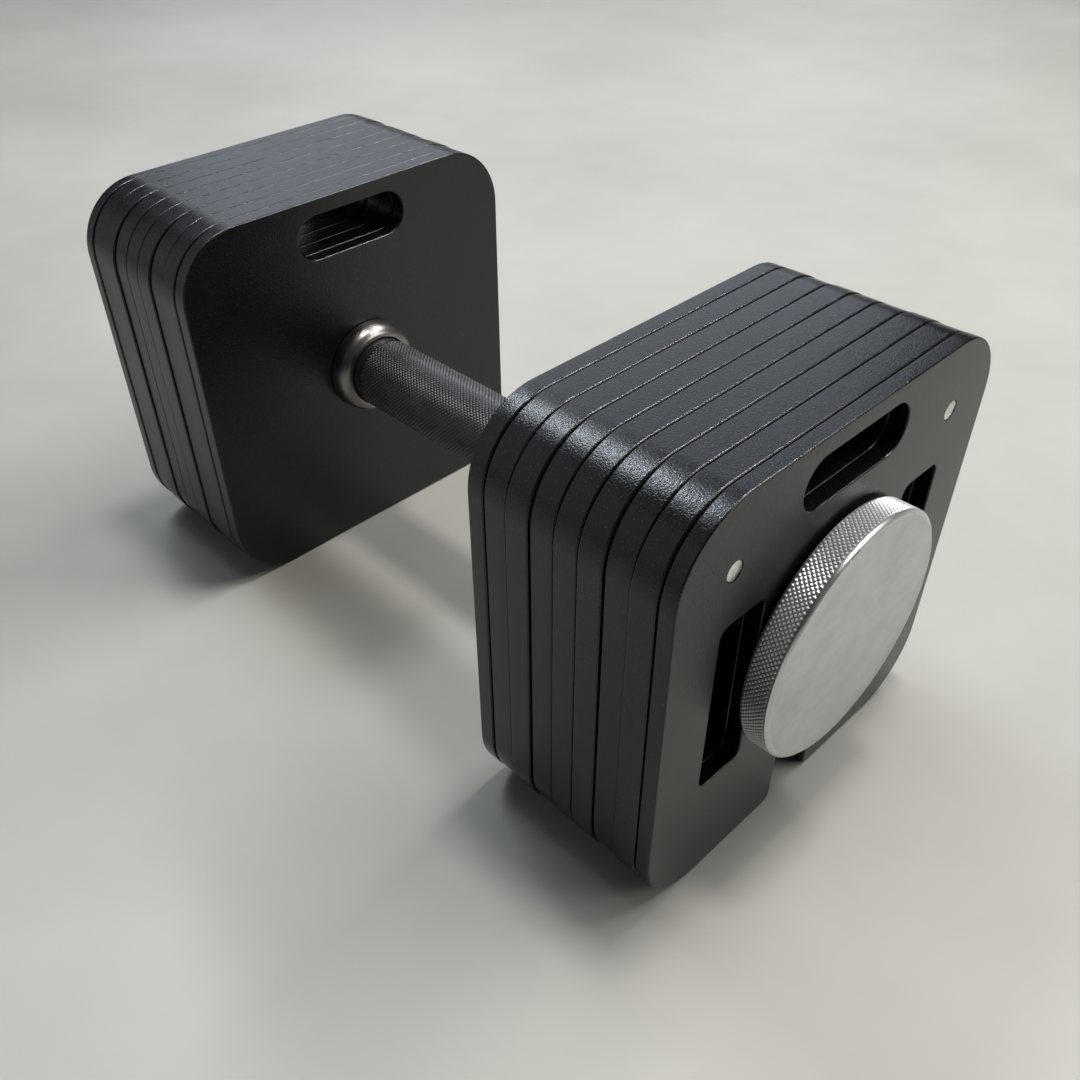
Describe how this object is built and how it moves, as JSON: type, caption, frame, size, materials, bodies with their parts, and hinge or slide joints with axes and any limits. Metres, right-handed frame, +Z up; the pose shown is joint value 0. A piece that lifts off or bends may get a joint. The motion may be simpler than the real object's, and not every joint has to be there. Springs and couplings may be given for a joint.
{
  "type": "adjustable dumbbell",
  "caption": "Adjustable dumbbell: knurled grip between end plates, removable plates with finger slots and windows, clamped at each end by a knurled screw knob.",
  "frame": {"origin": "on the floor under the middle of the handle, at the centre of the footprint", "axes": "+X along the handle towards the right end, +Z up from the floor, +Y across to the back"},
  "size_m": [0.3508, 0.165, 0.166],
  "materials": {
    "plate_black": "textured black powder coat",
    "grip_black": "black coated steel, fine diamond knurl",
    "satin_steel": "bare satin steel",
    "knob_steel": "stainless steel, satin face and bright knurled rim",
    "bolt_steel": "bright threaded steel",
    "core_steel": "plain machined steel",
    "magnet_nickel": "nickel plated"
  },
  "bodies": {
    "handle": {"grip_tube": "grip_black", "core_bar": "core_steel", "right_end_plate": "plate_black", "right_collar": "satin_steel", "left_end_plate": "plate_black", "left_collar": "satin_steel"},
    "right_weight_plate_1": {"right_weight_plate_1": "plate_black", "right_magnet_front_1": "magnet_nickel", "right_magnet_back_1": "magnet_nickel"},
    "right_weight_plate_2": {"right_weight_plate_2": "plate_black", "right_magnet_front_2": "magnet_nickel", "right_magnet_back_2": "magnet_nickel"},
    "right_weight_plate_3": {"right_weight_plate_3": "plate_black", "right_magnet_front_3": "magnet_nickel", "right_magnet_back_3": "magnet_nickel"},
    "right_weight_plate_4": {"right_weight_plate_4": "plate_black", "right_magnet_front_4": "magnet_nickel", "right_magnet_back_4": "magnet_nickel"},
    "right_weight_plate_5": {"right_weight_plate_5": "plate_black", "right_magnet_front_5": "magnet_nickel", "right_magnet_back_5": "magnet_nickel"},
    "right_weight_plate_6": {"right_weight_plate_6": "plate_black", "right_magnet_front_6": "magnet_nickel", "right_magnet_back_6": "magnet_nickel"},
    "right_weight_plate_7": {"right_weight_plate_7": "plate_black", "right_magnet_front_7": "magnet_nickel", "right_magnet_back_7": "magnet_nickel"},
    "right_light_plate": {"right_light_plate": "plate_black", "right_magnet_front_8": "magnet_nickel", "right_magnet_back_8": "magnet_nickel"},
    "right_pressure_washer": {"right_pressure_washer": "satin_steel"},
    "right_locking_screw": {"right_knob": "knob_steel", "right_bolt": "bolt_steel"},
    "left_weight_plate_1": {"left_weight_plate_1": "plate_black", "left_magnet_front_1": "magnet_nickel", "left_magnet_back_1": "magnet_nickel"},
    "left_weight_plate_2": {"left_weight_plate_2": "plate_black", "left_magnet_front_2": "magnet_nickel", "left_magnet_back_2": "magnet_nickel"},
    "left_weight_plate_3": {"left_weight_plate_3": "plate_black", "left_magnet_front_3": "magnet_nickel", "left_magnet_back_3": "magnet_nickel"},
    "left_weight_plate_4": {"left_weight_plate_4": "plate_black", "left_magnet_front_4": "magnet_nickel", "left_magnet_back_4": "magnet_nickel"},
    "left_weight_plate_5": {"left_weight_plate_5": "plate_black", "left_magnet_front_5": "magnet_nickel", "left_magnet_back_5": "magnet_nickel"},
    "left_weight_plate_6": {"left_weight_plate_6": "plate_black", "left_magnet_front_6": "magnet_nickel", "left_magnet_back_6": "magnet_nickel"},
    "left_weight_plate_7": {"left_weight_plate_7": "plate_black", "left_magnet_front_7": "magnet_nickel", "left_magnet_back_7": "magnet_nickel"},
    "left_light_plate": {"left_light_plate": "plate_black", "left_magnet_front_8": "magnet_nickel", "left_magnet_back_8": "magnet_nickel"},
    "left_pressure_washer": {"left_pressure_washer": "satin_steel"},
    "left_locking_screw": {"left_knob": "knob_steel", "left_bolt": "bolt_steel"}
  },
  "joints": [
    {"name": "right_weight_plate_1_lift", "type": "slide", "parent": "handle", "child": "right_weight_plate_1", "axis": [0, 0, 1], "range_m": [0, 0.12]},
    {"name": "right_weight_plate_2_lift", "type": "slide", "parent": "handle", "child": "right_weight_plate_2", "axis": [0, 0, 1], "range_m": [0, 0.12]},
    {"name": "right_weight_plate_3_lift", "type": "slide", "parent": "handle", "child": "right_weight_plate_3", "axis": [0, 0, 1], "range_m": [0, 0.12]},
    {"name": "right_weight_plate_4_lift", "type": "slide", "parent": "handle", "child": "right_weight_plate_4", "axis": [0, 0, 1], "range_m": [0, 0.12]},
    {"name": "right_weight_plate_5_lift", "type": "slide", "parent": "handle", "child": "right_weight_plate_5", "axis": [0, 0, 1], "range_m": [0, 0.12]},
    {"name": "right_weight_plate_6_lift", "type": "slide", "parent": "handle", "child": "right_weight_plate_6", "axis": [0, 0, 1], "range_m": [0, 0.12]},
    {"name": "right_weight_plate_7_lift", "type": "slide", "parent": "handle", "child": "right_weight_plate_7", "axis": [0, 0, 1], "range_m": [0, 0.12]},
    {"name": "right_light_plate_lift", "type": "slide", "parent": "handle", "child": "right_light_plate", "axis": [0, 0, 1], "range_m": [0, 0.12]},
    {"name": "right_washer_slide", "type": "slide", "parent": "handle", "child": "right_pressure_washer", "axis": [1, 0, 0], "range_m": [0, 0.012]},
    {"name": "right_knob_turn", "type": "hinge", "parent": "right_pressure_washer", "child": "right_locking_screw", "pos_m": [0.1699, 0, 0.0845], "axis": [1, 0, 0], "range_deg": [0, 1080]},
    {"name": "left_weight_plate_1_lift", "type": "slide", "parent": "handle", "child": "left_weight_plate_1", "axis": [0, 0, 1], "range_m": [0, 0.12]},
    {"name": "left_weight_plate_2_lift", "type": "slide", "parent": "handle", "child": "left_weight_plate_2", "axis": [0, 0, 1], "range_m": [0, 0.12]},
    {"name": "left_weight_plate_3_lift", "type": "slide", "parent": "handle", "child": "left_weight_plate_3", "axis": [0, 0, 1], "range_m": [0, 0.12]},
    {"name": "left_weight_plate_4_lift", "type": "slide", "parent": "handle", "child": "left_weight_plate_4", "axis": [0, 0, 1], "range_m": [0, 0.12]},
    {"name": "left_weight_plate_5_lift", "type": "slide", "parent": "handle", "child": "left_weight_plate_5", "axis": [0, 0, 1], "range_m": [0, 0.12]},
    {"name": "left_weight_plate_6_lift", "type": "slide", "parent": "handle", "child": "left_weight_plate_6", "axis": [0, 0, 1], "range_m": [0, 0.12]},
    {"name": "left_weight_plate_7_lift", "type": "slide", "parent": "handle", "child": "left_weight_plate_7", "axis": [0, 0, 1], "range_m": [0, 0.12]},
    {"name": "left_light_plate_lift", "type": "slide", "parent": "handle", "child": "left_light_plate", "axis": [0, 0, 1], "range_m": [0, 0.12]},
    {"name": "left_washer_slide", "type": "slide", "parent": "handle", "child": "left_pressure_washer", "axis": [-1, 0, 0], "range_m": [0, 0.012]},
    {"name": "left_knob_turn", "type": "hinge", "parent": "left_pressure_washer", "child": "left_locking_screw", "pos_m": [-0.1699, 0, 0.0845], "axis": [-1, 0, 0], "range_deg": [0, 1080]}
  ],
  "couplings": [
    {"joint": "right_washer_slide", "follows": "right_knob_turn", "m_per_rad": 0.000636},
    {"joint": "left_washer_slide", "follows": "left_knob_turn", "m_per_rad": 0.000636}
  ]
}
